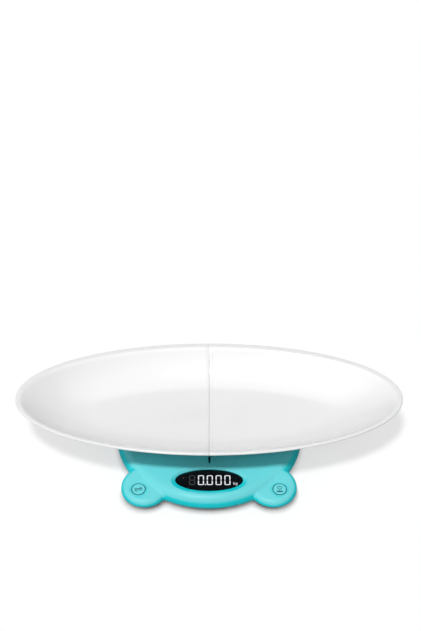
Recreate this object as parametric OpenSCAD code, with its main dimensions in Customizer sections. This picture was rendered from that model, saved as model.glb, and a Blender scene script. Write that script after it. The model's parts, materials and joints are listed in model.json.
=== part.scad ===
// Baby weighing scale: a shallow oval tray in two lift-off halves on a low round base
// with two button lobes at its front corners. Millimetres, display side toward -Y, feet on z = 0.

/* [Tray] */
// length over the rim, end to end
tray_len = 560; // [460:5:680]
// width over the rim, front to back
tray_wid = 241; // [200:1:290]
// height of the rim above the table
rim_h = 70; // [62:1:90]
// width of the flat lip round the rim
lip_w = 8; // [5:0.5:12]
// wall of the moulded tray
tray_wall = 2.6; // [2:0.1:3.2]
// how far the tray sits behind the middle of the base
tray_y = 24.5; // [16:0.5:34]

/* [Base] */
// width of the round body
base_w = 271; // [230:1:330]
// depth of the round body
base_d = 278; // [236:1:336]
// height of the flat deck above the table
deck_z = 27; // [25:0.5:32.5]
// wall of the moulded case
case_wall = 2.4; // [2:0.1:3]
// radius of a front lobe
ear_r = 35; // [32:0.5:38]
// forward tilt of a front lobe, degrees
ear_tilt = 8; // [4:0.5:10]

/* [Display] */
// length of the oval window
lens_l = 93.6; // [80:0.2:110]
// width of the oval window
lens_w = 40.6; // [38:0.2:48]

/* [Buttons] */
// radius of the hole round a button
button_hole_r = 10; // [8.4:0.1:12]
// travel of a button
button_travel = 0.6; // [0.4:0.1:0.8]

/* [Power] */
// diameter of a battery
cell_d = 10.5; // [8.8:0.1:12.6]
// length of a battery
cell_l = 44.5; // [37:0.5:53]

/* [Feet] */
// diameter of a foot
foot_d = 40; // [33:1:48]
// height of the case bottom above the table
case_lift = 4; // [3.5:0.1:5]

/* [Hidden] */
$fn = 64;
fit = 0.4;                              // gap between loose moulded parts
gap = 0.3;                              // gap between a part that moves and its neighbour
base_a = base_w / 2;
base_y = base_d * 0.054;                // widest line of the body, behind its middle
front_b = base_d / 2 + base_y;
rear_b = base_d / 2 - base_y;
edge_w = 13;                            // rounding of the deck edge, across
edge_h = 14;                            // and down
skirt_z = case_lift + 1;
floor_t = 2.4;                          // bottom case plate
floor_z = case_lift + floor_t;
ear_x = base_a - 48.3;
ear_y = -(base_d / 2 - 37.5);
ear_z = deck_z - 4.5;
ear_edge = 7;                           // rounding of the lobe edge
tuck_w = 4;                             // rounding where the wall turns under
tuck_h = 5;
lobe_r = 31;                            // rear foot lobes
lobe_x = base_a - 63.5;
lobe_y = base_d / 2 - lobe_r;
steps = 6;

tray_a = tray_len / 2;
tray_b = tray_wid / 2;
bowl_z = deck_z + 5.8;                  // inside floor of the bowl
bowl_h = rim_h - bowl_z;
run_x = 100;                            // length of the sloping end wall
run_y = 62;                             // length of the sloping side wall
bow = 1.9;                              // how the wall curves up
lip_shift = 3;                          // the opening sits this far forward, so the lip is wider behind
seam = 0.2;                             // half of the gap at the seam
lap = 5.6;                              // ledge of the left half under the right half
rest_z = deck_z + gap;
y_shift = -(tray_y + tray_b - base_d / 2) / 2;

hook_ys = [tray_y - 49.4, tray_y + 59.3];
hook_turn = 65;
hook_x = 4.2;
hook_dy = 3;
hook_l = 11;
hook_t = 3;
hook_dip = 7;                           // how far a hook reaches below the deck
slot_w = hook_t + 1.4;
toe = [0.5, -76];                       // toe of the left half, from the middle of the tray
toe_w = 2;
toe_d = 8;
toe_slot_l = 24;                        // its slot reaches further forward than the toe

lens_y = -(base_d / 2 - 39.2);
lens_t = 1.5;
lens_top = deck_z - 3;
dish_z = deck_z - 2.8;
dish_rim = 5.9;                         // width of the sloping border round the window
dish_dy = 3;                            // its outline lies ahead of the window, so it is steep behind
ledge_z = lens_top - lens_t;
ledge_w = 4;                            // seat under the edge of the window

button_x = ear_x + 9.9;
button_dy = 11.5;                       // button ahead of the middle of the lobe
button_y = ear_y - button_dy;
cap_r = button_hole_r - 0.35;
cap_rim = button_hole_r + 1.2;
switch_top = -6.6;
switch_h = 3.5;
switch_board_t = 1.4;
post_x = button_hole_r + 4.2;
switch_lead_z = ear_z - ear_edge - (button_dy - 3.4) * sin(ear_tilt) - 5.4; // just under the board

board_y = lens_y + 4;
board_w = 100;
board_d = 50;
board_t = 1.6;
board_z = deck_z - 14.5;                // underside
post_dx = 45;
post_dy = 20;

cell_n = 3;
pitch = cell_d + 0.5;
bay_y = 22;                             // middle of the battery bay
turns = 5;                              // of a contact spring
turn_pitch = 0.9;
wire_r = 0.5;
spring_h = 0.8 + (turns - 1) * turn_pitch + wire_r;
stud_h = 1.2;                           // stud of a contact plate
bay_w = cell_l + spring_h + stud_h + 0.2; // along the batteries
bay_d = pitch * cell_n + 1;
bay_wall = 1.4;
bay_front = 6;                          // thick front wall, over the latch edge of the door
door_t = 2.1;
door_z = case_lift + 0.1;
cell_z = door_z + door_t + 0.4 + cell_d / 2;
bay_top = cell_z + cell_d / 2 + 0.4;
hinge_r = door_t / 2;                   // rounded back edge of the door, on its hinge line
hinge_y = bay_y + bay_d / 2 + 4.65;
door_front = bay_y - bay_d / 2 - 4;
door_w = bay_w + 3.4;

foot_front = [base_a * 0.6273, -(base_d / 2 - 80)]; // stays inside the rounded front wall
foot_rear = [base_a - 57.5, base_d / 2 - 46];
feet = [[-foot_front[0], foot_front[1]], foot_front, [-foot_rear[0], foot_rear[1]], foot_rear];
stem_d = foot_d - 6;
sensor_z = floor_z + 2.4;
sensor_t = 1.6;
sensor_screw_y = foot_d / 2 - 0.6;

case_screws_at = [[-base_a * 0.428, lens_y - 9.2], [base_a * 0.428, lens_y - 9.2],
    [-base_a + 17.5, base_y], [base_a - 17.5, base_y],
    [-base_a * 0.295, base_d / 2 - 17], [base_a * 0.295, base_d / 2 - 17]];

// screws: thread diameter, and the bosses that they bite into
case_screw_d = 2.4;
board_screw_d = 1.8;
small_screw_d = 1.6;
case_boss_d = 7;
board_post_d = 6;
switch_post_d = 5;
skin = 1.2;                             // how far bosses reach into the deck

turquoise = [0.1, 0.74, 0.78];
white = [0.96, 0.96, 0.97];
dark = [0.08, 0.08, 0.09];
green = [0.1, 0.4, 0.2];
steel = [0.75, 0.75, 0.77];

// ---- outlines ----
function sgn(v) = v < 0 ? -1 : 1;
function rear_pow(v) = sgn(v) * pow(abs(v), 0.8);
// body outline, inset by o: an ellipse in front, a squarer curve behind
function body_pt(t, o) = sin(t) < 0
    ? [(base_a - o) * cos(t), base_y + (front_b - o) * sin(t)]
    : [(base_a - o) * rear_pow(cos(t)), base_y + (rear_b - o) * rear_pow(sin(t))];
function body_pts(o) = [for (i = [0:71]) body_pt(i * 5, o)];
function edge_o(i) = edge_w * (1 - cos(90 * i / steps));
function edge_z(i) = deck_z - edge_h + edge_h * sin(90 * i / steps);

function ring_pts(r) = [for (i = [0:35]) [r * cos(i * 10), r * sin(i * 10)]];
function at_z(pts, z) = [for (p = pts) [p[0], p[1], z]];
function moved(pts, x, y) = [for (p = pts) [p[0] + x, p[1] + y]];
// a flat ring of points tipped forward by the lobe's tilt, z up from its pivot
function tipped(pts, x, y, z, up) = [for (p = pts) [p[0] + x,
    y + p[1] * cos(ear_tilt) - up * sin(ear_tilt), z + p[1] * sin(ear_tilt) + up * cos(ear_tilt)]];

// solid skin through a stack of rings with the same number of points
module loft(rings) {
    n = len(rings[0]);
    m = len(rings) - 1;
    polyhedron(points = [for (r = rings) each r], faces = concat(
        [[for (i = [0:n - 1]) i]],
        [for (k = [0:m - 1], i = [0:n - 1]) each
            [[k * n + i, (k + 1) * n + i, (k + 1) * n + (i + 1) % n],
            [k * n + i, (k + 1) * n + (i + 1) % n, k * n + (i + 1) % n]]],
        [[for (i = [n - 1:-1:0]) m * n + i]]));
}

// the wall where it turns under: inset and height of ring i of 0 to 3, for a skin inset by t
function tuck_o(i, t) = t + tuck_w * (1 - sin(i * 30));
function tuck_z(i, t) = skirt_z + (tuck_h - 0.8 * t) * (1 - cos(i * 30));

// body with a rounded deck edge, inset by t, from z0 up
module body_solid(t, z0) loft(concat([at_z(body_pts(tuck_o(0, t)), z0)],
    [for (i = [0:3]) if (t > 0 || i > 0) at_z(body_pts(tuck_o(i, t)), tuck_z(i, t))],
    [for (i = [0:steps]) at_z(body_pts(edge_o(i) + t), edge_z(i) - t)]));

// round foot lobe at the back with the same edges
module lobe_solid(s, t, z0) loft(concat(
    [at_z(moved(ring_pts(lobe_r - tuck_o(0, t)), s * lobe_x, lobe_y), z0)],
    [for (i = [0:3]) if (t > 0 || i > 0)
        at_z(moved(ring_pts(lobe_r - tuck_o(i, t)), s * lobe_x, lobe_y), tuck_z(i, t))],
    [for (i = [0:steps]) at_z(moved(ring_pts(lobe_r - edge_o(i) - t), s * lobe_x, lobe_y),
        edge_z(i) - t - 0.02)]));

// front lobe with its top tipped forward
module ear_solid(s, t, z0) loft(concat(
    [at_z(moved(ring_pts(ear_r - tuck_o(0, t)), s * ear_x, ear_y), z0)],
    [for (i = [0:3]) if (t > 0 || i > 0)
        at_z(moved(ring_pts(ear_r - tuck_o(i, t)), s * ear_x, ear_y), tuck_z(i, t))],
    [for (i = [0:4]) tipped(ring_pts(ear_r - t - ear_edge * (1 - cos(i * 22.5))), s * ear_x, ear_y,
        ear_z - ear_edge, ear_edge * sin(i * 22.5) - t)]));

module base_solid(t, z0) {
    body_solid(t, z0);
    for (s = [-1, 1]) lobe_solid(s, t, z0);
    for (s = [-1, 1]) ear_solid(s, t, z0);
}

module base_2d(o) {
    polygon(body_pts(o));
    for (s = [-1, 1]) translate([s * lobe_x, lobe_y]) circle(r = lobe_r - o);
    for (s = [-1, 1]) translate([s * ear_x, ear_y]) circle(r = ear_r - o);
}

function oval_pts(l, w) = [for (i = [0:71]) [l / 2 * cos(i * 5), w / 2 * sin(i * 5)]];

module oval(l, w) polygon(oval_pts(l, w));

module box(cx, cy, z0, w, d, h) {
    translate([cx - w / 2, cy - d / 2, z0]) cube([w, d, h]);
}

module slot_2d(l, w) {
    square([l - w, w], center = true);
    for (s = [-1, 1]) translate([s * (l - w) / 2, 0]) circle(d = w, $fn = 32);
}

// place in a front lobe, origin on the button top, z along the press direction
module button_place(s) {
    translate([s * button_x, ear_y, ear_z - ear_edge]) rotate([ear_tilt, 0, 0])
        translate([0, -button_dy, ear_edge]) children();
}

// ---- case ----
module top_case() color(turquoise) {
    difference() {
        union() {
            difference() {
                union() base_solid(0, skirt_z);
                base_solid(case_wall, skirt_z - 2);
            }
            // thicker deck round the window
            translate([0, lens_y, ledge_z - 2])
                linear_extrude(deck_z - skin - ledge_z + 2) oval(lens_l + 14, lens_w + 15);
            for (p = case_screws_at) translate([p[0], p[1], floor_z + 2.7])
                cylinder(h = deck_z - floor_z - 2.7 - skin, d = case_boss_d);
            for (sx = [-1, 1], sy = [-1, 1])
                translate([sx * post_dx, board_y + sy * post_dy, board_z + board_t])
                    cylinder(h = deck_z - skin - board_z - board_t, d = board_post_d);
            for (s = [-1, 1], k = [-1, 1]) button_place(s)
                translate([k * post_x, 0, switch_top - switch_h]) cylinder(h = 8.6, d = switch_post_d);
        }
        // dished border, then the seat and the opening of the window
        loft([at_z(moved(oval_pts(lens_l + 1.2, lens_w + 1.2), 0, lens_y), dish_z),
            at_z(moved(oval_pts(lens_l + 2 * dish_rim, lens_w + 1.9 * dish_rim), 0, lens_y - dish_dy),
                deck_z + 0.01)]);
        translate([0, lens_y, ledge_z]) linear_extrude(5) oval(lens_l + 0.6, lens_w + 0.6);
        translate([0, lens_y, ledge_z - 3]) linear_extrude(5)
            oval(lens_l - 2 * ledge_w, lens_w - 2 * ledge_w);
        // slots for the tray hooks
        for (y = hook_ys, s = [-1, 1]) translate([s * hook_x, y + s * hook_dy, deck_z - 5])
            linear_extrude(8) rotate(hook_turn) slot_2d(hook_l + 3.4, slot_w);
        // slot for the toe of the left tray half
        translate([toe[0] + 0.4, tray_y + toe[1] + toe_d / 2 + 2 - toe_slot_l / 2, deck_z - 5])
            linear_extrude(8) rotate(90) slot_2d(toe_slot_l, slot_w);
        for (s = [-1, 1]) button_place(s) translate([0, 0, -4.4]) cylinder(h = 9, r = button_hole_r);
        for (p = case_screws_at) translate([p[0], p[1], floor_z]) cylinder(h = 14, d = case_screw_d);
        for (sx = [-1, 1], sy = [-1, 1])
            translate([sx * post_dx, board_y + sy * post_dy, board_z]) cylinder(h = 8, d = board_screw_d);
        for (s = [-1, 1], k = [-1, 1]) button_place(s)
            translate([k * post_x, 0, switch_top - switch_h - 1]) cylinder(h = 6, d = small_screw_d);
    }
}

module bottom_case() color(turquoise) {
    difference() {
        union() {
            translate([0, 0, case_lift]) linear_extrude(floor_t) base_2d(tuck_w + case_wall + fit);
            for (p = feet) translate([p[0], p[1], case_lift])
                cylinder(h = sensor_z - case_lift, d = foot_d + 4);
            for (p = case_screws_at) translate([p[0], p[1], case_lift])
                cylinder(h = floor_t + 2.4, d = 9);
            translate([-bay_w / 2 - 4.2, bay_y - bay_d / 2 - bay_front, case_lift + 0.5])
                cube([bay_w + 8.4, bay_d + bay_front + bay_wall, bay_top + bay_wall - case_lift - 0.5]);
        }
        for (p = feet) translate([p[0], p[1], case_lift - 1]) cylinder(h = 12, d = stem_d + 1.6);
        for (p = feet, s = [-1, 1]) translate([p[0], p[1] + s * sensor_screw_y, floor_z])
            cylinder(h = 6, d = small_screw_d, $fn = 24);
        for (p = case_screws_at) {
            translate([p[0], p[1], case_lift - 1]) cylinder(h = 9, d = 3.4);
            translate([p[0], p[1], case_lift - 1]) cylinder(h = 3.2, d = 6.4);
        }
        // battery bay: door opening, then the bay itself
        translate([-door_w / 2 - fit, door_front - fit, case_lift - 1])
            cube([door_w + 2 * fit, hinge_y + hinge_r + 0.6 - door_front + fit, 1 + floor_t + 0.1]);
        translate([-bay_w / 2, bay_y - bay_d / 2, case_lift]) cube([bay_w, bay_d, bay_top - case_lift]);
    }
}

module battery_door() color(turquoise) {
    difference() {
        union() {
            translate([-door_w / 2, door_front, door_z]) cube([door_w, hinge_y - door_front, door_t]);
            translate([-door_w / 2, hinge_y, door_z + hinge_r]) rotate([0, 90, 0])
                cylinder(h = door_w, r = hinge_r);
            for (s = [-1, 1]) {
                box(s * 15, hinge_y + 0.25, door_z + door_t - 0.5, 8, 1.2, 2.6);
                box(s * 15, hinge_y + 2, door_z + door_t + 0.6, 8, 4.7, 1.5);
            }
        }
        translate([-9, door_front + 5, door_z - 0.6]) rotate([0, 90, 0]) cylinder(h = 18, r = 1.6);
    }
}

// ---- display and electronics ----
module display_lens() color(dark)
    translate([0, lens_y, ledge_z]) linear_extrude(lens_t) oval(lens_l, lens_w);

module display_module() color(dark)
    box(0, lens_y, board_z + board_t, 62, 20, ledge_z - board_z - board_t - fit);

module main_board() color(green) difference() {
    box(0, board_y, board_z, board_w, board_d, board_t);
    for (sx = [-1, 1], sy = [-1, 1])
        translate([sx * post_dx, board_y + sy * post_dy, board_z - 1]) cylinder(h = 4, d = 2.6);
}

module board_chips() color(dark) {
    box(0, board_y - 6, board_z - 1.8, 14, 14, 1.8);
    box(24, board_y - 8, board_z - 1.5, 9, 6, 1.5);
    box(-26, board_y - 8, board_z - 2.2, 5, 9, 2.2);
    translate([-14, board_y + 14, board_z - 5]) cylinder(h = 5, d = 6);
    translate([22, board_y + 12, board_z - 4.5]) cylinder(h = 4.5, d = 11);
}

module button_cap(s) color(turquoise) button_place(s) {
    translate([0, 0, -4.1]) cylinder(h = 4.1, r = cap_r);
    translate([0, 0, -4.1]) cylinder(h = 1.2, r = cap_rim);
    translate([0, 0, -5.4]) cylinder(h = 1.6, r = 2);
}

module switch_plunger(s) color(dark) button_place(s)
    translate([0, 0, -7.2]) cylinder(h = 1.8, r = 1.75);

module tact_switch(s) color(steel) button_place(s) difference() {
    translate([-3.1, -3.1, switch_top - switch_h]) cube([6.2, 6.2, switch_h]);
    translate([0, 0, -7.2 - button_travel - 0.5]) cylinder(h = 4, r = 2.15);
}

module switch_board(s) color(green) button_place(s) difference() {
    translate([0, 0.5, switch_top - switch_h - switch_board_t]) linear_extrude(switch_board_t)
        offset(r = 5) square([2 * post_x - 4, 3], center = true);
    for (k = [-1, 1]) translate([k * post_x, 0, switch_top - switch_h - 3]) cylinder(h = 6, d = 2);
}

// half-bridge sensor: a steel plate whose middle tongue is pressed up by the foot
module load_cell(p) color(steel) difference() {
    box(p[0], p[1], sensor_z, foot_d * 0.7, foot_d + 3, sensor_t);
    for (s = [-1, 1]) box(p[0] + s * foot_d * 0.2, p[1], sensor_z - 1, 3, foot_d * 0.62, 5);
    box(p[0], p[1] + foot_d * 0.29, sensor_z - 1, foot_d * 0.4, 3, 5);
    for (s = [-1, 1])
        translate([p[0], p[1] + s * sensor_screw_y, sensor_z - 1]) cylinder(h = 5, d = 2.6);
}

module foot(p) color(white) {
    translate([p[0], p[1], 1.8]) cylinder(h = case_lift - 1.8 - fit, d = foot_d);
    translate([p[0], p[1], 1.8]) cylinder(h = floor_z - 0.6, d = stem_d);
    translate([p[0], p[1], 1.8]) cylinder(h = sensor_z - 1.8, d = 8);
}

module foot_pad(p) color(dark) translate([p[0], p[1], 0]) cylinder(h = 1.8, d = foot_d - 4);

// ---- leads ----
module wire(pts, r) {
    for (i = [0:len(pts) - 2]) {
        d = pts[i + 1] - pts[i];
        translate(pts[i]) rotate([0, acos(d[2] / norm(d)), atan2(d[1], d[0])])
            cylinder(h = norm(d), r = r, $fn = 24);
    }
    for (i = [1:len(pts) - 2]) translate(pts[i]) sphere(r = r + 0.05, $fn = 24);
}

// three wires side by side from a load cell to the underside of the main board
module cell_leads(p) color([0.7, 0.1, 0.1]) {
    s = p[0] < 0 ? -1 : 1;
    z0 = sensor_z + sensor_t + 0.8;
    tail = [p[0] - s * foot_d * 0.3, p[1] - foot_d * 0.28, z0];
    lane_x = s * (bay_w / 2 + 14);
    for (k = [-1, 0, 1]) {
        w = k * 1.8;
        if (p[1] > 0) wire([tail + [0, w, 0], [lane_x - s * w, tail[1] + w, z0],
            [lane_x - s * w, board_y + 30 + w, z0], [s * 30 - s * w, board_y + 17 + w, z0],
            [s * 30 - s * w, board_y + 17 + w, board_z]], 0.65);
        if (p[1] <= 0) wire([tail + [0, w, 0], [s * 38, board_y + 9 + w, z0],
            [s * 38, board_y + 9 + w, board_z]], 0.65);
    }
}

module switch_leads(s) color([0.15, 0.15, 0.6]) for (k = [-1, 1]) {
    y = board_y + 4 + k * 1.4;
    z = switch_lead_z;
    wire([[s * (button_x - post_x + 4), button_y + 3.4 + k * 1.4, z], [s * (post_dx + 5), y, z],
        [s * post_dx, y, z], [s * post_dx, y, board_z]], 0.6);
}

module battery_leads() color([0.6, 0.1, 0.1]) for (k = [-1, 1]) {
    x = k * (bay_w / 2 - 4);
    y = bay_y - bay_d / 2 - bay_front;
    wire([[x, y, cell_z], [x, y - 5, cell_z], [k * 6, y - 14, board_z - 3],
        [k * 3, board_y + 21, board_z - 3], [k * 3, board_y + 21, board_z]], 0.7);
}

// ---- power ----
module battery(i) {
    y = bay_y + (i - 1) * pitch;
    s = i % 2 == 0 ? 1 : -1;
    x = -s * (bay_w / 2 - spring_h - 0.1);
    color([0.75, 0.55, 0.2]) translate([x, y, cell_z]) rotate([0, s * 90, 0]) {
        cylinder(h = cell_l - 1, d = cell_d);
        cylinder(h = cell_l, d = cell_d * 0.34);
    }
}

module battery_springs() color(steel) for (i = [0:cell_n - 1]) {
    s = i % 2 == 0 ? 1 : -1;
    translate([-s * bay_w / 2, bay_y + (i - 1) * pitch, cell_z]) rotate([0, s * 90, 0]) {
        translate([-cell_d * 0.35, -cell_d * 0.4, 0]) cube([cell_d * 0.7, cell_d * 0.8, 0.5]);
        for (k = [0:turns - 1]) translate([0, 0, 0.8 + k * turn_pitch])
            rotate_extrude() translate([cell_d * 0.32 - k * 0.3, 0]) circle(r = wire_r, $fn = 16);
    }
}

module battery_plates() color(steel) for (i = [0:cell_n - 1]) {
    s = i % 2 == 0 ? 1 : -1;
    translate([s * bay_w / 2, bay_y + (i - 1) * pitch, cell_z]) rotate([0, -s * 90, 0]) {
        translate([-cell_d * 0.35, -cell_d * 0.4, 0]) cube([cell_d * 0.7, cell_d * 0.8, 0.5]);
        cylinder(h = stud_h, r = 1.6);
    }
}

// ---- screws ----
module screw(l, d, head_d, head_h) {
    difference() {
        translate([0, 0, -head_h]) cylinder(h = head_h, d = head_d, $fn = 32);
        box(0, 0, -head_h - 0.01, head_d * 0.6, head_d * 0.16, head_h * 0.5);
        box(0, 0, -head_h - 0.01, head_d * 0.16, head_d * 0.6, head_h * 0.5);
    }
    cylinder(h = l, d = d, $fn = 32);
}

module case_screws() color(steel) for (p = case_screws_at)
    translate([p[0], p[1], case_lift + 2.2]) screw(10, case_screw_d, 5.4, 1.8);

module board_screws() color(steel) {
    for (sx = [-1, 1], sy = [-1, 1])
        translate([sx * post_dx, board_y + sy * post_dy, board_z]) screw(6, board_screw_d, 4, 1.2);
    for (s = [-1, 1], k = [-1, 1]) button_place(s)
        translate([k * post_x, 0, switch_top - switch_h - switch_board_t])
            screw(4.5, small_screw_d, 3.4, 1);
}

module load_cell_screws() color(steel) for (p = feet, s = [-1, 1])
    translate([p[0], p[1] + s * sensor_screw_y, sensor_z + sensor_t]) rotate([180, 0, 0])
        screw(4.5, small_screw_d, 3.2, 1.1);

// ---- tray ----
function wall_k(i) = i / 7;
function wall_z(i) = bowl_z + bowl_h * pow(wall_k(i), bow);
function wall_lean(i) = atan(bowl_h * bow * pow(wall_k(i), bow - 1) / run_y);
function wall_a(i) = tray_a - lip_w - run_x * (1 - wall_k(i));
function wall_b(i) = tray_b - lip_w - run_y * (1 - wall_k(i));
function wall_y(i) = -lip_shift * wall_k(i);
// the same wall moved outwards by o
function skin_a(i, o) = wall_a(i) + o * sin(wall_lean(i));
function skin_b(i, o) = wall_b(i) + o * sin(wall_lean(i));
function skin_z(i, o) = wall_z(i) - o * cos(wall_lean(i));
function half_pts(s, a, b) = [for (i = [0:48])
    [s * (seam + (a - seam) * sin(i * 3.75)), -b * cos(i * 3.75)]];

function half_ring_at(s, a, b, y, z) = [for (p = half_pts(s, a, b)) [p[0], p[1] + tray_y + y, z]];
function turned(r, s) = s > 0 ? r : [for (i = [len(r) - 1:-1:0]) r[i]];

// the bowl of one half, o = 0 inside, o = wall outside
module bowl(s, o) loft(concat(
    [for (i = [0:7]) turned(half_ring_at(s, skin_a(i, o), skin_b(i, o), wall_y(i), skin_z(i, o)), s)],
    o == 0 ? [turned(half_ring_at(s, wall_a(7), wall_b(7), wall_y(7), rim_h + 2), s)] : []));

// section of the outside of the bowl at the seam, y against z
module seam_section() polygon(concat(
    [for (i = [7:-1:0]) [wall_y(i) - skin_b(i, tray_wall), skin_z(i, tray_wall)]],
    [for (i = [0:7]) [wall_y(i) + skin_b(i, tray_wall), skin_z(i, tray_wall)]]));

module half_ring(s, a, b, w, z, h) translate([0, tray_y, z]) linear_extrude(h) difference() {
    polygon(half_pts(s, a, b));
    polygon([for (p = half_pts(s, a - w, b - w)) [p[0] - (abs(p[0]) <= seam ? s : 0), p[1]]]);
}

// keel under the seam edge of a half, y against z
module keel_2d() {
    front = tray_b - lip_w - 1;
    back = front - 2 * lip_shift;
    polygon([[-front, rim_h - 6], [-front, rim_h - 14], [-70, rest_z + 2], [-64, rest_z],
        [64, rest_z], [70, rest_z + 2], [back, rim_h - 18], [back, rim_h - 6]]);
}

module along_x(x, w) translate([x, tray_y, 0]) rotate([90, 0, 90]) linear_extrude(w) children();

module tray_half(s) {
    difference() {
        union() {
            bowl(s, tray_wall);
            half_ring(s, tray_a, tray_b, lip_w + lip_shift + 1.5, rim_h - tray_wall, tray_wall);
            along_x(s < 0 ? -seam - 2.6 : lap + 0.6, 2.6) keel_2d();
            box(s * 75, tray_y, rest_z, 2.6, 92, bowl_z - rest_z - 1);
        }
        bowl(s, 0);
    }
    hook_h = bowl_z - tray_wall + 0.6 - deck_z + hook_dip;
    for (y = hook_ys) translate([s * hook_x, y + s * hook_dy, deck_z - hook_dip])
        rotate([0, 0, hook_turn]) translate([-hook_l / 2, -hook_t / 2, 0]) cube([hook_l, hook_t, hook_h]);
}

module tray_left() color(white) {
    tray_half(-1);
    // ledge that carries the edge of the right half
    difference() {
        along_x(-seam - 1.2, lap + seam + 1.2) difference() {
            offset(delta = gap + 1.5) seam_section();
            offset(delta = gap) seam_section();
            translate([-tray_wid, rim_h - 7]) square([2 * tray_wid, 20]);
        }
        for (y = hook_ys) box(lap - 0.6, y + hook_dy, deck_z, 12, 18, 8);
    }
    // toe that drops into the deck and keeps the seam in the middle
    along_x(toe[0] - toe_w / 2, toe_w) difference() {
        translate([toe[1] - toe_d / 2, deck_z - 2]) square([toe_d, 20]);
        offset(delta = gap + 0.6) seam_section();
    }
}

module tray_right() color(white) {
    tray_half(1);
    // raised edge strip along the seam
    along_x(seam, lap) difference() {
        offset(delta = -tray_wall + 0.4) seam_section();
        offset(delta = -tray_wall - 0.4) seam_section();
        translate([-tray_wid, rim_h - 4]) square([2 * tray_wid, 20]);
    }
}

// ---- every part in its place ----
module placed() translate([0, y_shift, 0]) children();

placed() top_case();
placed() bottom_case();
placed() display_lens();
placed() display_module();
placed() main_board();
placed() board_chips();
placed() button_cap(-1);  // left_button
placed() button_cap(1);  // right_button
placed() switch_plunger(-1);  // left_switch_plunger
placed() switch_plunger(1);  // right_switch_plunger
placed() tact_switch(-1);  // left_switch
placed() tact_switch(1);  // right_switch
placed() switch_board(-1);  // left_switch_board
placed() switch_board(1);  // right_switch_board
placed() load_cell(feet[0]);  // front_left_load_cell
placed() load_cell(feet[1]);  // front_right_load_cell
placed() load_cell(feet[2]);  // rear_left_load_cell
placed() load_cell(feet[3]);  // rear_right_load_cell
placed() foot(feet[0]);  // front_left_foot
placed() foot(feet[1]);  // front_right_foot
placed() foot(feet[2]);  // rear_left_foot
placed() foot(feet[3]);  // rear_right_foot
placed() foot_pad(feet[0]);  // front_left_foot_pad
placed() foot_pad(feet[1]);  // front_right_foot_pad
placed() foot_pad(feet[2]);  // rear_left_foot_pad
placed() foot_pad(feet[3]);  // rear_right_foot_pad
placed() cell_leads(feet[0]);  // front_left_cell_leads
placed() cell_leads(feet[1]);  // front_right_cell_leads
placed() cell_leads(feet[2]);  // rear_left_cell_leads
placed() cell_leads(feet[3]);  // rear_right_cell_leads
placed() switch_leads(-1);  // left_switch_leads
placed() switch_leads(1);  // right_switch_leads
placed() battery_leads();
placed() battery(0);  // battery_1
placed() battery(1);  // battery_2
placed() battery(2);  // battery_3
placed() battery_springs();
placed() battery_plates();
placed() battery_door();
placed() case_screws();
placed() board_screws();
placed() load_cell_screws();
placed() tray_left();
placed() tray_right();
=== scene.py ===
# %% [markdown]
# # A baby weighing scale
#
# The real object is a low turquoise base that does the weighing, and a shallow white tray that
# carries the child. The tray is moulded in two halves so that it packs into a small carton, and
# the halves hook into slots in the deck of the base and meet in a seam.
#
# The working parts are already made and packed: their sizes, places and joints are fixed. This
# lesson gives them their looks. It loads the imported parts, measures them, and builds the visible
# skins round them with bmesh operators, so that every new piece lands where the parts say.

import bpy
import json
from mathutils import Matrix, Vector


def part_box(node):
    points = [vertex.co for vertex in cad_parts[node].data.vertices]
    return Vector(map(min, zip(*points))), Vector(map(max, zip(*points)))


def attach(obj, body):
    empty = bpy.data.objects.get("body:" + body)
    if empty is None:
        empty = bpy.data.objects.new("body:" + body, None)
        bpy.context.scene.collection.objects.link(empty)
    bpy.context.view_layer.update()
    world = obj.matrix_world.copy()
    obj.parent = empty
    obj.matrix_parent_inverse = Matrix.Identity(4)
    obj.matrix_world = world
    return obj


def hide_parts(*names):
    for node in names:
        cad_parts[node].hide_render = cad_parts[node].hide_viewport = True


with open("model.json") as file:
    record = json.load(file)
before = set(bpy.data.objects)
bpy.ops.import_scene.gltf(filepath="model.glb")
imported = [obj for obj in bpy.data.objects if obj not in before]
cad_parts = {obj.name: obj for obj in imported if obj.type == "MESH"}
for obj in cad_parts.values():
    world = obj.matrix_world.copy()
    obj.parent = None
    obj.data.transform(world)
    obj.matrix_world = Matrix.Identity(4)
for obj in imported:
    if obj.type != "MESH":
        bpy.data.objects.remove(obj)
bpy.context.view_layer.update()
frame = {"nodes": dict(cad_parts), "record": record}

# %% The libraries, and a millimetre
import json
import math

import bmesh
import bpy
from mathutils import Matrix, Vector

MM = 0.001


def box_mm(node):
    """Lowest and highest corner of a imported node, in millimetres."""
    low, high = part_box(node)
    return low / MM, high / MM


# %% [markdown]
# ## The camera
#
# The camera comes first, because what it sees decides where detail is worth its time. The
# photographer stood well back with a long lens and looked down on the scale at 37 degrees. That
# is why the front of the tray and its far rim look almost equally wide.

# %% Stand the camera where the photographer stood
PICTURE_LONG_SIDE = 631
FOCAL_PIXELS = 1119.0
PITCH = math.radians(37.49)
DISTANCE = 1.8513
AIM = Vector((1.94, 276.6, 20)) * MM

camera = bpy.data.objects.new("camera", bpy.data.cameras.new("camera"))
bpy.context.scene.collection.objects.link(camera)
camera.data.lens = camera.data.sensor_width * FOCAL_PIXELS / PICTURE_LONG_SIDE
camera.data.clip_end = 50
back = Vector((0, -math.cos(PITCH), math.sin(PITCH)))
camera.location = AIM + back * DISTANCE
camera.rotation_euler = (-back).to_track_quat("-Z", "Y").to_euler()
bpy.context.scene.camera = camera
print("lens", round(camera.data.lens, 1), "mm, camera at", [round(x, 2) for x in camera.location])
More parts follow.
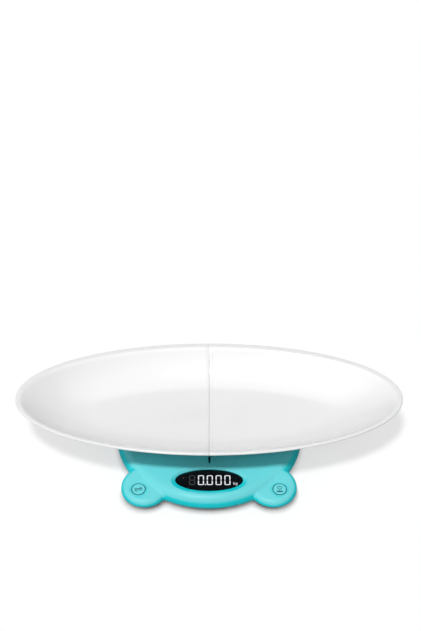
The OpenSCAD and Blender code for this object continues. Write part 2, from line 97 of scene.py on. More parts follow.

# %% [markdown]
# ## Measuring the imported parts
#
# Nothing here is fitted by eye. The case, the window and the tray are measured from their packed
# boxes, and what a box can't tell, such as how far an edge is rounded or where a button sits on its
# lobe, is a named value next to it. From here on all shapes are drawn in millimetres and scaled at
# the very end.

# %% The main sizes of the base
case_low, case_high = box_mm("top_case")
HALF_W = (case_high.x - case_low.x) / 2
CASE_D = case_high.y - case_low.y
CASE_Y = (case_high.y + case_low.y) / 2
DECK = case_high.z
WIDEST_Y = CASE_Y + 0.054 * CASE_D      # the widest line lies behind the middle
FRONT_B = WIDEST_Y - case_low.y
REAR_B = case_high.y - WIDEST_Y
EAR_TILT = math.radians(8)
EAR = Vector((HALF_W - 48.3, CASE_Y - (CASE_D / 2 - 37.5), DECK - 4.5))
REAR_LOBE_R = 31.0
REAR_LOBE = Vector((HALF_W - 63.5, case_high.y - REAR_LOBE_R, 0))
lens_low, lens_high = box_mm("display_lens")
LENS = (lens_low + lens_high) / 2
print("base", round(2 * HALF_W), "x", round(CASE_D), "mm, deck at", round(DECK, 1))

# %% The main sizes of the tray
tray_low, tray_high = box_mm("tray_right")
TRAY_A = tray_high.x
TRAY_B = (tray_high.y - tray_low.y) / 2
TRAY_Y = (tray_high.y + tray_low.y) / 2
RIM = tray_high.z
BOWL = DECK + 5.8
LIP, WALL = 8.0, 2.6
LIP_SHIFT = 3.0                         # the opening lies this far forward in the rim
RUN_X, RUN_Y, BOW = 100.0, 62.0, 1.9
SEAM = tray_low.x if abs(tray_low.x) < 1 else 0.2
print("tray", round(2 * TRAY_A), "x", round(2 * TRAY_B), "mm, rim at", round(RIM, 1))

# %% [markdown]
# ## Helpers
#
# Every piece ends the same way: its mesh is scaled to metres, shaded smooth with its hard edges
# kept, and handed to the body that carries it. One function does that, so no piece is forgotten.
# It also writes down for each vertex how far it faces up and forward, towards the key lamp: the
# finish paints a sheen by that.

# %% Finish a piece
# A direction up and forward, roughly that of the key lamp. Faces that look this way get a painted
# sheen.
TO_LAMP = Vector((-0.05, -0.5, 0.86)).normalized()


def finish_piece(bm, name, body, materials, replaces=(), hard=34, flat=1e9):
    """Turns a bmesh in millimetres into a finished piece that rides on a body.

    Faces of more than flat square millimetres are shaded flat, the rest smooth.
    """
    bmesh.ops.scale(bm, vec=(MM, MM, MM), verts=bm.verts)
    mesh = bpy.data.meshes.new(name)
    bm.to_mesh(mesh)
    bm.free()
    mesh.set_sharp_from_angle(angle=math.radians(hard))
    for face in mesh.polygons:
        face.use_smooth = face.area < flat * MM * MM
    # How far each vertex faces the key lamp: the finishes paint a sheen by it.
    facing = mesh.attributes.new("facing", "FLOAT", "POINT")
    for vertex in mesh.vertices:
        facing.data[vertex.index].value = vertex.normal.dot(TO_LAMP)
    for material in materials:
        mesh.materials.append(material)
    piece = bpy.data.objects.new(name, mesh)
    bpy.context.scene.collection.objects.link(piece)
    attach(piece, body)
    if replaces:
        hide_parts(*replaces)
    print(name, len(mesh.polygons), "faces")
    return piece


# %% Stack rings and bend them into shape
def ring_stack(levels, segments):
    """Unit circles, level i at height i, joined by faces. Bending them gives any round shell."""
    bm = bmesh.new()
    bmesh.ops.create_circle(bm, radius=1, segments=segments)
    edges = bm.edges[:]
    for _ in range(levels - 1):
        grown = bmesh.ops.extrude_edge_only(bm, edges=edges)["geom"]
        verts = {g for g in grown if isinstance(g, bmesh.types.BMVert)}
        edges = [g for g in grown if isinstance(g, bmesh.types.BMEdge) and set(g.verts) <= verts]
        bmesh.ops.translate(bm, verts=list(verts), vec=(0, 0, 1))
    return bm


def bend(bm, place):
    """Moves each vertex of a ring stack to place(angle, level)."""
    for v in bm.verts:
        v.co = place(math.atan2(v.co.y, v.co.x), round(v.co.z))


def close(bm):
    """Fills the open ends and turns every face outwards."""
    bmesh.ops.holes_fill(bm, edges=[e for e in bm.edges if e.is_boundary])
    bmesh.ops.recalc_face_normals(bm, faces=bm.faces)


# %% Spin a profile, and join meshes
def turned(profile, steps, centre=(0, 0, 0), closed=False):
    """A body of revolution about a vertical line, from its profile of (radius, height)."""
    bm = bmesh.new()
    verts = [bm.verts.new((r, 0, z)) for r, z in profile]
    pairs = list(zip(verts, verts[1:])) + ([(verts[-1], verts[0])] if closed else [])
    edges = [bm.edges.new(pair) for pair in pairs]
    bmesh.ops.spin(bm, geom=verts + edges, cent=(0, 0, 0), axis=(0, 0, 1),
                   angle=math.tau, steps=steps, use_merge=True)
    bmesh.ops.remove_doubles(bm, verts=bm.verts, dist=1e-4)
    bmesh.ops.recalc_face_normals(bm, faces=bm.faces)
    bmesh.ops.translate(bm, verts=bm.verts, vec=centre)
    return bm


def take(bm, other, material=0):
    """Adds another bmesh to this one, on one of its materials, and frees the other."""
    for face in other.faces:
        face.material_index = material
    mesh = bpy.data.meshes.new("part")
    other.to_mesh(mesh)
    other.free()
    bm.from_mesh(mesh)
    bpy.data.meshes.remove(mesh)


def block(size, centre, edge=0.3, turn=0.0):
    """A moulded block: a cube stretched to size, its edges rounded, turned about the vertical."""
    bm = bmesh.new()
    bmesh.ops.create_cube(bm, size=1)
    bmesh.ops.scale(bm, vec=size, verts=bm.verts)
    bmesh.ops.bevel(bm, geom=bm.edges[:], offset=edge, affect="EDGES", segments=2, profile=0.5,
                    material=-1)
    bmesh.ops.rotate(bm, matrix=Matrix.Rotation(turn, 3, "Z"), verts=bm.verts)
    bmesh.ops.translate(bm, verts=bm.verts, vec=centre)
    return bm


# %% Run modifiers on a mesh and keep the result
def modified(bm, *steps):
    """The bmesh after modifiers, each a (kind, settings) pair."""
    mesh = bpy.data.meshes.new("work")
    bm.to_mesh(mesh)
    bm.free()
    worker = bpy.data.objects.new("work", mesh)
    bpy.context.scene.collection.objects.link(worker)
    for kind, settings in steps:
        modifier = worker.modifiers.new(kind, kind)
        for key, value in settings.items():
            setattr(modifier, key, value)
    graph = bpy.context.evaluated_depsgraph_get()
    result = bmesh.new()
    result.from_mesh(worker.evaluated_get(graph).to_mesh())
    bpy.data.objects.remove(worker)
    bpy.data.meshes.remove(mesh)
    return result


def cut(bm, cutter):
    """The bmesh less the cutter. Faces keep the material number they had on either of them."""
    mesh = bpy.data.meshes.new("cutter")
    cutter.to_mesh(mesh)
    cutter.free()
    tool = bpy.data.objects.new("cutter", mesh)
    bpy.context.scene.collection.objects.link(tool)
    result = modified(bm, ("BOOLEAN", {"operation": "DIFFERENCE", "solver": "EXACT",
                                       "object": tool, "use_self": True}))
    bpy.data.objects.remove(tool)
    bpy.data.meshes.remove(mesh)
    return result


# %% [markdown]
# ## Finishes
#
# The base is satin ABS from a spark-eroded mould: a very fine grain that softens the reflection
# without being seen as a pattern. The tray is the same kind of plastic from a polished mould, so
# it is glossier and shows slight waves in its reflections. Each finish is a small node tree: a
# noise on the piece's own coordinates drives roughness and bump, and a slow noise moves the
# colour a little, as moulded plastic does where it cooled unevenly. The turquoise and the white
# also take a lighter colour on faces that look towards the key lamp: a painted sheen.

# %% A node tree in a few words
def new_material(name):
    """A material with a Principled shader, and a helper that adds and sets a node."""
    material = bpy.data.materials.new(name)
    material.use_nodes = True
    tree = material.node_tree
    shader = tree.nodes["Principled BSDF"]

    def add(kind, settings=(), **inputs):
        node = tree.nodes.new(kind)
        for key, value in dict(settings).items():
            setattr(node, key, value)
        for key, value in inputs.items():
            socket = node.inputs[key.replace("_", " ")]
            if isinstance(value, bpy.types.NodeSocket):
                tree.links.new(value, socket)
            else:
                socket.default_value = value
        return node

    return material, tree, shader, add


def graded(add, factor, low, high):
    """A value that runs from low to high as a noise goes from dark to bright."""
    node = add("ShaderNodeMapRange", Value=factor, To_Min=low, To_Max=high)
    node.inputs["From Min"].default_value = 0.3
    node.inputs["From Max"].default_value = 0.7
    return node.outputs["Result"]


def moulded_plastic(name, colour, second, roughness, grain=0.35, relief=0.0, wave=0.0, specular=0.5,
                    painted_sheen=None):
    """Moulded plastic: colour that drifts between two tones, fine grain, and slow waves.

    The last argument, a colour and two limits, paints faces that look up and forward, towards the
    key lamp, in that colour instead: a painted sheen.
    """
    material, tree, shader, add = new_material(name)
    place = add("ShaderNodeTexCoord").outputs["Object"]
    drift = add("ShaderNodeTexNoise", Vector=place, Scale=14.0, Detail=3.0).outputs["Fac"]
    fine = add("ShaderNodeTexNoise", Vector=place, Scale=1 / (grain * MM), Detail=2.0).outputs["Fac"]
    slow = add("ShaderNodeTexNoise", Vector=place, Scale=22.0, Detail=1.0).outputs["Fac"]
    mix = add("ShaderNodeMix", {"data_type": "RGBA"})
    tree.links.new(graded(add, drift, 0.0, 1.0), mix.inputs[0])
    mix.inputs[6].default_value = (*colour, 1)
    mix.inputs[7].default_value = (*second, 1)
    tone = mix.outputs[2]
    # A painted sheen: faces that look towards the key lamp take a lighter colour, standing in for the
    # lamp's light on them.
    if painted_sheen:
        facing = add("ShaderNodeAttribute", {"attribute_name": "facing"}).outputs["Fac"]
        top = add("ShaderNodeMapRange", {"interpolation_type": "SMOOTHSTEP"}, Value=facing)
        top.inputs["From Min"].default_value, top.inputs["From Max"].default_value = painted_sheen[1:]
        painted_sheen_mix = add("ShaderNodeMix", {"data_type": "RGBA"})
        tree.links.new(top.outputs["Result"], painted_sheen_mix.inputs[0])
        tree.links.new(tone, painted_sheen_mix.inputs[6])
        painted_sheen_mix.inputs[7].default_value = (*painted_sheen[0], 1)
        tone = painted_sheen_mix.outputs[2]
    tree.links.new(tone, shader.inputs["Base Color"])
    tree.links.new(graded(add, fine, roughness - 0.03, roughness + 0.03), shader.inputs["Roughness"])
    grain_bump = add("ShaderNodeBump", Height=fine, Strength=relief, Distance=0.02 * MM)
    wave_bump = add("ShaderNodeBump", Height=slow, Strength=wave, Distance=0.4 * MM,
                    Normal=grain_bump.outputs["Normal"])
    tree.links.new(wave_bump.outputs["Normal"], shader.inputs["Normal"])
    shader.inputs["Specular IOR Level"].default_value = specular
    return material


# The turquoise and the white get a painted sheen: a lighter colour on faces that look towards the key
# lamp.
turquoise = moulded_plastic("turquoise_satin", (0.002, 0.64, 0.7), (0.004, 0.67, 0.73), 0.4,
                            relief=0.5, specular=0.22, painted_sheen=((0.16, 0.69, 0.73), 0.66, 0.9))
white = moulded_plastic("white_polished", (0.87, 0.87, 0.875), (0.89, 0.89, 0.895), 0.2,
                        relief=0.12, wave=0.25, painted_sheen=((0.955, 0.955, 0.955), 0.88, 0.98))
window_black = moulded_plastic("window_black", (0.002, 0.002, 0.003), (0.003, 0.003, 0.004), 0.07,
                               relief=0.02, specular=0.1)
ink = moulded_plastic("dark_teal_ink", (0.004, 0.1, 0.12), (0.005, 0.12, 0.14), 0.5, relief=0.3)

# %% [markdown]
# ## The tray
#
# Each half is one moulding: a flat floor, a wall that curves up, and a flat lip with a rounded
# edge. Seen from above every line of it is an ellipse, but the ellipses get rounder towards the
# floor and their middles wander forward on the way up, which makes the lip wider behind than in
# front. A plain lathe shape stretched sideways would miss both.
#
# It could be lofted through a stack of ellipses. Here the wall's section is spun half a turn, as
# on a lathe, and then each point is drawn towards the long axis and moved forward by how far out
# it lies. The spin gives even faces, and two small rules give the true ellipses.

# %% The section of the wall
WALL_STEPS = 18
LIP_ROUND = 2.0


def wall_at(k, offset=0.0):
    """Radius and height of the wall, k from 0 at the floor to 1 at the lip, moved outwards."""
    lean = math.atan(BOW * (RIM - BOWL) * max(k, 1e-6) ** (BOW - 1) / RUN_X)
    radius = TRAY_A - LIP - RUN_X * (1 - k) + offset * math.sin(lean)
    return radius, BOWL + (RIM - BOWL) * k ** BOW - offset * math.cos(lean)


def arc(cx, cz, r, start, end, steps):
    """Points on a quarter or so of a circle, degrees from the radius line."""
    turns = [math.radians(start + (end - start) * i / steps) for i in range(steps + 1)]
    return [(cx + r * math.cos(t), cz + r * math.sin(t)) for t in turns]


inside = [(0, BOWL), (60, BOWL), (120, BOWL)] + [wall_at(i / WALL_STEPS) for i in range(WALL_STEPS)]
last = wall_at(0.985)
lip_in = [last, (TRAY_A - LIP + 0.6, RIM - 0.12), (TRAY_A - LIP + 1.8, RIM)]
lip_out = arc(TRAY_A - LIP_ROUND, RIM - LIP_ROUND, LIP_ROUND, 90, 0, 7)
lip_out += arc(TRAY_A - 0.5, RIM - WALL + 0.5, 0.5, 0, -90, 3)
under = [(TRAY_A - LIP + 2.4, RIM - WALL), (TRAY_A - LIP + 1.7, RIM - WALL - 0.3)]
outside = [wall_at(0.97 - i / WALL_STEPS, WALL) for i in range(WALL_STEPS - 1)]
outside += [(wall_at(0, WALL)[0], BOWL - WALL), (120, BOWL - WALL), (60, BOWL - WALL), (0, BOWL - WALL)]
section = inside + lip_in + lip_out + under + outside
print("wall section of", len(section), "points")


# %% From circles to ellipses
def half_depth(radius):
    """Half depth of the ellipse whose half length is radius."""
    floor_b = TRAY_B - LIP - RUN_Y
    floor_a = TRAY_A - LIP - RUN_X
    if radius < floor_a:
        return radius * floor_b / floor_a
    if radius < TRAY_A - LIP:
        return floor_b + (radius - floor_a) * RUN_Y / RUN_X
    return TRAY_B - (TRAY_A - radius)


def forward(radius):
    """How far forward the middle of that ellipse lies: most at the edge of the opening."""
    if radius > TRAY_A - LIP:
        return LIP_SHIFT * (TRAY_A - radius) / LIP
    return LIP_SHIFT * max(0.0, 1 - (TRAY_A - LIP - radius) / RUN_X)


def tray_shell(side):
    """One half of the bowl with its lip: side is -1 for the left half and 1 for the right."""
    bm = bmesh.new()
    verts = [bm.verts.new((0, -r, z)) for r, z in section]
    edges = [bm.edges.new(pair) for pair in zip(verts, verts[1:])]
    bmesh.ops.spin(bm, geom=verts + edges, cent=(0, 0, 0), axis=(0, 0, 1), angle=side * math.pi,
                   steps=110)
    bmesh.ops.remove_doubles(bm, verts=bm.verts, dist=1e-4)
    for v in bm.verts:
        radius = math.hypot(v.co.x, v.co.y)
        if radius > 0:
            v.co.y *= half_depth(radius) / radius
        v.co.x = side * SEAM + v.co.x * (TRAY_A - SEAM) / TRAY_A
        v.co.y += TRAY_Y - forward(radius)
    close(bm)
    seam_edges = [e for e in bm.edges if all(abs(v.co.x - side * SEAM) < 1e-3 for v in e.verts)
                  and all(v.co.z > tray_floor_under(v.co.y) for v in e.verts)]
    bmesh.ops.bevel(bm, geom=seam_edges, offset=0.35, affect="EDGES", segments=2, profile=0.5,
                    material=-1)
    return bm


def surface_z(y, offset=0.0):
    """Height of the bowl at the seam, at y from the middle, moved outwards by offset."""
    floor_b = TRAY_B - LIP - RUN_Y
    run = RUN_Y + math.copysign(LIP_SHIFT, -y)
    k = max(0.0, (abs(y) - floor_b) / run)
    lean = math.atan(BOW * (RIM - BOWL) * k ** (BOW - 1) / run) if k else 0.0
    return BOWL + (RIM - BOWL) * k ** BOW - offset / math.cos(lean)


def tray_floor_under(y):
    """A height halfway through the tray's wall at the seam."""
    return min(surface_z(y - TRAY_Y, WALL / 2), RIM - 1.0)


# %% [markdown]
# ## What is under and along the seam
#
# The left half has a ledge that reaches under the edge of the right half, and the right half has
# a raised strip along the seam. Both follow the curve of the bowl, so both come from one strip:
# a chain of edges along the curve, pulled sideways into a band and thickened. Two keels, two rest
# ribs, the hook blades and a small toe at the front carry the halves on the deck.

# %% A band that follows the bowl along the seam
def seam_band(x0, x1, offset, thickness, reach, edge=0.2):
    """A strip from x0 to x1 along the bowl's section, its lower face moved outwards by offset."""
    steps = 40
    bm = bmesh.new()
    ys = [reach * (2 * i / steps - 1) for i in range(steps + 1)]
    verts = [bm.verts.new((x0, y + TRAY_Y, surface_z(y, offset))) for y in ys]
    edges = [bm.edges.new(pair) for pair in zip(verts, verts[1:])]
    grown = bmesh.ops.extrude_edge_only(bm, edges=edges)["geom"]
    bmesh.ops.translate(bm, verts=[g for g in grown if isinstance(g, bmesh.types.BMVert)],
                        vec=(x1 - x0, 0, 0))
    for face in bm.faces:
        if face.normal.z < 0:
            face.normal_flip()
    bmesh.ops.solidify(bm, geom=bm.faces[:], thickness=-thickness)
    bmesh.ops.recalc_face_normals(bm, faces=bm.faces)
    rim_edges = [e for e in bm.edges if e.calc_face_angle(0) > math.radians(60)]
    bmesh.ops.bevel(bm, geom=rim_edges, offset=edge, affect="EDGES", segments=2, profile=0.5,
                    material=-1)
    return bm


# %% Keel, ribs and hooks
REST = DECK + 0.3
KEEL_W = 2.6
HOOK = Vector((11.0, 3.0, 0))
HOOK_TURN = math.radians(65)
HOOK_DIP = 7.0
HOOKS_Y = (TRAY_Y - 49.4, TRAY_Y + 59.3)
HOOK_X, HOOK_DY = 4.2, 3.0
TOE = Vector((0.5, TRAY_Y - 76, 0))
LAP = 5.6


def keel(x0):
    """The upright plate under a seam edge, its top edge buried in the wall of the bowl."""
    front = TRAY_B - LIP - 1
    back = front - 2 * LIP_SHIFT
    steps = 30
    top = [back - (front + back) * i / steps for i in range(steps + 1)]
    outline = [(-front, RIM - 12), (-70, REST + 2), (-64, REST), (64, REST), (70, REST + 2)]
    outline += [(back, RIM - 18)]
    outline += [(y, min(surface_z(y, WALL / 2), RIM - 6)) for y in top]
    bm = bmesh.new()
    face = bm.faces.new([bm.verts.new((x0, y + TRAY_Y, z)) for y, z in outline])
    grown = bmesh.ops.extrude_face_region(bm, geom=[face])["geom"]
    bmesh.ops.translate(bm, verts=[g for g in grown if isinstance(g, bmesh.types.BMVert)],
                        vec=(KEEL_W, 0, 0))
    bmesh.ops.recalc_face_normals(bm, faces=bm.faces)
    return bm


def tray_half(side):
    """All of one half: bowl, seam band, keel, rest rib and two hooks."""
    bm = tray_shell(side)
    take(bm, keel(-SEAM - KEEL_W if side < 0 else LAP + 0.6))
    if side < 0:
        take(bm, seam_band(-SEAM - 1.2, LAP, WALL + 1.8, 1.5, TRAY_B - LIP - 10))
        toe_top = surface_z(TOE.y - TRAY_Y, WALL + 1)
        take(bm, block((2, 8, toe_top - DECK + 2), (TOE.x, TOE.y, (toe_top + DECK - 2) / 2)))
    else:
        take(bm, seam_band(SEAM, LAP, 0.4, 0.8, TRAY_B - LIP - 4.5))
    take(bm, block((KEEL_W, 92, BOWL - REST - 1), (side * 75, TRAY_Y, (BOWL + REST - 1) / 2)))
    top = BOWL - WALL + 0.6
    for y in HOOKS_Y:
        middle = (side * HOOK_X, y + side * HOOK_DY, (top + DECK - HOOK_DIP) / 2)
        take(bm, block((HOOK.x, HOOK.y, top - DECK + HOOK_DIP), middle, 0.5, HOOK_TURN))
    return bm


for side, name in ((-1, "left"), (1, "right")):
    finish_piece(tray_half(side), f"tray_{name}_half", f"tray_{name}", [white],
                 [f"tray_{name}"])

# %% [markdown]
# ## The case of the base
#
# The upper case is one moulding: a round body with a well rounded edge, two lobes at the front
# that carry the buttons, and two smaller ones behind. On the real mould the lobes flow into the
# body with soft fillets that no bevel tool makes in one go.
#
# So the parts are made as overlapping closed shapes, fused by a voxel remesh as if they were
# clay, and smoothed where they meet. The openings are cut afterwards, so their edges stay crisp.

# %% The outlines of body and lobes
EDGE_W, EDGE_H = 13.0, 14.0
TUCK_W, TUCK_H = 3.5, 5.0
EAR_EDGE, EAR_TUCK = 7.0, 5.0
LOBE_R, LOBE_X, LOBE_Y = 33.2, 1.4, -2.4  # its round end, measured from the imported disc's middle
LOBE_EDGE = 8.0
SKIRT = case_low.z + 1.6


def body_point(angle, inset, z):
    """The case outline: nearly an ellipse in front, and a squarer curve behind."""
    c, s = math.cos(angle), math.sin(angle)
    power, depth = (0.97, FRONT_B) if s < 0 else (0.8, REAR_B)
    c, s = math.copysign(abs(c) ** power, c), math.copysign(abs(s) ** power, s)
    return Vector(((HALF_W - inset) * c, WIDEST_Y + (depth - inset) * s, z))


def rounded_levels(tuck_w, tuck_h, edge_w, edge_h, top, steps=8):
    """(inset, height) up a wall: turned under at the foot, rounded over at the top."""
    foot = [math.radians(90 * i / steps) for i in range(steps + 1)]
    low = [(tuck_w * (1 - math.sin(t)), SKIRT + tuck_h * (1 - math.cos(t))) for t in foot]
    high = [(edge_w * (1 - math.cos(t)), top - edge_h * (1 - math.sin(t))) for t in foot]
    return low + high


def tipped_ear(side):
    """A front lobe: an upright foot ring, and a top that is tipped forward by the lobe's tilt."""
    tuck = rounded_levels(TUCK_W, EAR_TUCK, 0, 0, 0)[:9]
    turns = [math.radians(90 * i / 8) for i in range(9)]

    def place(angle, level):
        x, y = math.cos(angle), math.sin(angle)
        if level < 9:
            inset, z = tuck[level]
            return Vector((side * (EAR.x + LOBE_X) + (LOBE_R - inset) * x,
                           EAR.y + LOBE_Y + (LOBE_R - inset) * y, z))
        t = turns[level - 9]
        radius = LOBE_R - LOBE_EDGE * (1 - math.cos(t))
        up = EAR_EDGE - LOBE_EDGE * (1 - math.sin(t))
        pivot = EAR.z - EAR_EDGE
        across = radius * y + LOBE_Y
        return Vector((side * (EAR.x + LOBE_X) + radius * x,
                       EAR.y + across * math.cos(EAR_TILT) - up * math.sin(EAR_TILT),
                       pivot + across * math.sin(EAR_TILT) + up * math.cos(EAR_TILT)))

    bm = ring_stack(18, 96)
    bend(bm, place)
    close(bm)
    return bm


def case_lumps():
    """Body, rear lobes and front lobes as overlapping closed shapes."""
    levels = rounded_levels(TUCK_W, TUCK_H, EDGE_W, EDGE_H, DECK)
    bm = ring_stack(len(levels), 180)
    bend(bm, lambda angle, level: body_point(angle, *levels[level]))
    close(bm)
    for side in (-1, 1):
        def place(angle, level):
            inset, z = levels[level]
            radius = REAR_LOBE_R - inset
            return Vector((side * REAR_LOBE.x + radius * math.cos(angle),
                           REAR_LOBE.y + radius * math.sin(angle), z - 0.02))
        lobe = ring_stack(len(levels), 72)
        bend(lobe, place)
        close(lobe)
        take(bm, lobe)
        take(bm, tipped_ear(side))
    return bm


# %% Fuse and smooth
CLAY = 1.7


def fused_case():
    """The lumps as one skin, with soft fillets where a lobe meets the body."""
    bm = modified(case_lumps(), ("REMESH", {"mode": "VOXEL", "voxel_size": CLAY}))
    for _ in range(3):
        bmesh.ops.smooth_vert(bm, verts=bm.verts, factor=0.5, use_axis_x=True, use_axis_y=True,
                              use_axis_z=True)
    bmesh.ops.bisect_plane(bm, geom=bm.verts[:] + bm.edges[:] + bm.faces[:], dist=1e-4,
                           plane_co=(0, 0, SKIRT + 0.5), plane_no=(0, 0, 1), clear_inner=True)
    bmesh.ops.holes_fill(bm, edges=[e for e in bm.edges if e.is_boundary])
    for face in bm.faces:
        face.material_index = 0
    bm.normal_update()
    for face in bm.faces:
        if face.normal.z < -0.9 and face.calc_center_median().z < SKIRT + 0.6:
            face.material_index = 1
    return bm


# %% The openings
BUTTON_DX, BUTTON_DY = 9.9, -11.5       # a button's place on its lobe
BUTTON_HOLE, GROOVE_R = 10.0, 11.7
DISH_A, DISH_B = 5.5, 5.2               # how far the sloping border reaches past the window's seat
DISH_SHIFT = 3.1                        # the border is steep behind the window and shallow in front
SLOT_DEPTH = 2.6


def ear_matrix(side):
    """Place of a button: origin on the lobe's top, z along the press direction."""
    pivot = Matrix.Translation((side * EAR.x, EAR.y, EAR.z - EAR_EDGE))
    return (pivot @ Matrix.Rotation(EAR_TILT, 4, "X")
            @ Matrix.Translation((side * BUTTON_DX, BUTTON_DY, EAR_EDGE)))


def dish_cutter():
    """The sloping border of the window, the seat of the window and the hole under it."""
    seat_a, seat_b = (lens_high.x - lens_low.x) / 2 + 0.4, (lens_high.y - lens_low.y) / 2 + 0.4
    outer_a, outer_b = seat_a + DISH_A, seat_b + DISH_B
    seat_z, ledge_z = lens_high.z + 0.2, lens_low.z
    drop = DECK - seat_z
    levels = [(-0.12, DECK + 0.9), (-0.02, DECK + 0.05), (0.03, DECK - 0.05), (0.1, DECK - 0.24),
              (0.97, seat_z + 0.1), (1.0, seat_z), (1.0, ledge_z), (1.6, ledge_z),
              (1.6, ledge_z - 2.3)]
    print("dish", round(2 * outer_a, 1), "x", round(2 * outer_b, 1), "mm,", round(drop, 1), "deep")

    def place(angle, level):
        s, z = levels[level]
        a, b = outer_a + (seat_a - outer_a) * s, outer_b + (seat_b - outer_b) * s
        ahead = DISH_SHIFT * max(0.0, 1 - s)
        return Vector((LENS.x + a * math.cos(angle), LENS.y - ahead + b * math.sin(angle), z))

    bm = ring_stack(len(levels), 160)
    bend(bm, place)
    return closed_cutter(bm)


def closed_cutter(bm):
    """Closes a cutter, and marks its lowest face, which becomes an open hole in the case."""
    close(bm)
    lowest = min(v.co.z for v in bm.verts)
    for face in bm.faces:
        face.material_index = int(all(v.co.z < lowest + 1e-3 for v in face.verts))
    return bm


def button_cutter(side):
    """A button's well with a softened lip."""
    well = [(BUTTON_HOLE + 0.9, 0.6), (BUTTON_HOLE + 0.5, 0.0), (BUTTON_HOLE + 0.15, -0.15),
            (BUTTON_HOLE, -0.5), (BUTTON_HOLE, -4.2)]
    bm = ring_stack(len(well), 96)
    bend(bm, lambda angle, level: Vector((well[level][0] * math.cos(angle),
                                          well[level][0] * math.sin(angle), well[level][1])))
    closed_cutter(bm)
    bmesh.ops.transform(bm, matrix=ear_matrix(side), verts=bm.verts)
    return bm


def groove_cutter(side):
    """The fine ring groove round a button."""
    bm = bmesh.new()
    verts = bmesh.ops.create_circle(bm, radius=0.55, segments=12,
                                    matrix=Matrix.Translation((GROOVE_R, 0, 0.25))
                                    @ Matrix.Rotation(math.pi / 2, 4, "X"))["verts"]
    bmesh.ops.spin(bm, geom=verts + bm.edges[:], cent=(0, 0, 0), axis=(0, 0, 1), angle=math.tau,
                   steps=96, use_merge=True)
    bmesh.ops.remove_doubles(bm, verts=bm.verts, dist=1e-4)
    bmesh.ops.recalc_face_normals(bm, faces=bm.faces)
    bmesh.ops.transform(bm, matrix=ear_matrix(side), verts=bm.verts)
    return bm


def slot_cutter(x, y, length, width, turn):
    """A slot with round ends for a hook or the toe of the tray."""
    bm = bmesh.new()
    bmesh.ops.create_cube(bm, size=1)
    bmesh.ops.scale(bm, vec=(length, width, 2 * SLOT_DEPTH), verts=bm.verts)
    upright = [e for e in bm.edges if abs(e.verts[0].co.z - e.verts[1].co.z) > SLOT_DEPTH]
    bmesh.ops.bevel(bm, geom=upright, offset=width / 2 - 0.02, affect="EDGES", segments=8,
                    profile=0.5, material=-1)
    bmesh.ops.rotate(bm, matrix=Matrix.Rotation(turn, 3, "Z"), verts=bm.verts)
    bmesh.ops.translate(bm, verts=bm.verts, vec=(x, y, DECK))
    bm.normal_update()
    for face in bm.faces:
        face.material_index = int(face.normal.z < -0.9)
    return bm


def case_cutters():
    """All that is cut from the upper case, as one tool."""
    bm = dish_cutter()
    others = [button_cutter(-1), button_cutter(1), groove_cutter(-1), groove_cutter(1)]
    others += [slot_cutter(side * HOOK_X, y + side * HOOK_DY, HOOK.x + 3.4, HOOK.y + 1.4, HOOK_TURN)
               for side in (-1, 1) for y in HOOKS_Y]
    others.append(slot_cutter(TOE.x, TOE.y - 6, 24, 3.0, math.pi / 2))
    for other in others:
        mesh = bpy.data.meshes.new("part")
        other.to_mesh(mesh)
        other.free()
        bm.from_mesh(mesh)
        bpy.data.meshes.remove(mesh)
    return bm


# %% The upper case, cut and given its wall
CASE_WALL = 2.2


def upper_case():
    """The fused case with its openings, still a skin without thickness."""
    bm = cut(fused_case(), case_cutters())
    bmesh.ops.delete(bm, geom=[f for f in bm.faces if f.material_index == 1], context="FACES")
    for face in bm.faces:
        face.material_index = 0
    bmesh.ops.remove_doubles(bm, verts=bm.verts, dist=1e-3)
    return bm


case = finish_piece(upper_case(), "upper_case", "base", [turquoise], ["top_case"])
wall = case.modifiers.new("wall", "SOLIDIFY")
wall.thickness = CASE_WALL * MM
wall.offset = -1

# %% [markdown]
# ## The window and its figures
#
# The window is a flat oval of dark acrylic. Its figures are seven-segment lamps that shine
# through it, and the one unlit figure has a faint painted glow. The window is a ring stack with a
# softened edge. Each figure is built from bars with pointed ends, which is what a bevel at half the
# bar's width makes of a plain strip.

# %% The window
def window():
    a, b = (lens_high.x - lens_low.x) / 2, (lens_high.y - lens_low.y) / 2
    levels = [(0, lens_low.z), (0, lens_high.z - 0.4), (0.12, lens_high.z - 0.12), (0.4, lens_high.z)]
    bm = ring_stack(len(levels), 160)
    bend(bm, lambda angle, level: Vector((LENS.x + (a - levels[level][0]) * math.cos(angle),
                                          LENS.y + (b - levels[level][0]) * math.sin(angle),
                                          levels[level][1])))
    close(bm)
    return bm


finish_piece(window(), "display_window", "base", [window_black], ["display_lens"])

# %% The figures
DIGIT_X, DIGIT_Y, BAR, DIGIT_PITCH = 3.43, 8.5, 1.5, 12.2
SPLIT = 0.8                             # half of the gap between the two uprights of a side
SEGMENTS = {"top": (0, 1, 0), "middle": (0, 0, 0), "bottom": (0, -1, 0), "upper_left": (-1, 1, 1),
            "upper_right": (1, 1, 1), "lower_left": (-1, -1, 1), "lower_right": (1, -1, 1)}


def bar(x, y, length, upright):
    """A thin lit bar with pointed ends."""
    bm = bmesh.new()
    bmesh.ops.create_grid(bm, x_segments=1, y_segments=1, size=0.5)
    size = (BAR, length, 1) if upright else (length, BAR, 1)
    bmesh.ops.scale(bm, vec=size, verts=bm.verts)
    bmesh.ops.bevel(bm, geom=bm.verts[:], offset=BAR * 0.49, affect="VERTICES", segments=1,
                    profile=0.5, material=-1)
    bmesh.ops.translate(bm, verts=bm.verts, vec=(x, y, 0))
    return bm


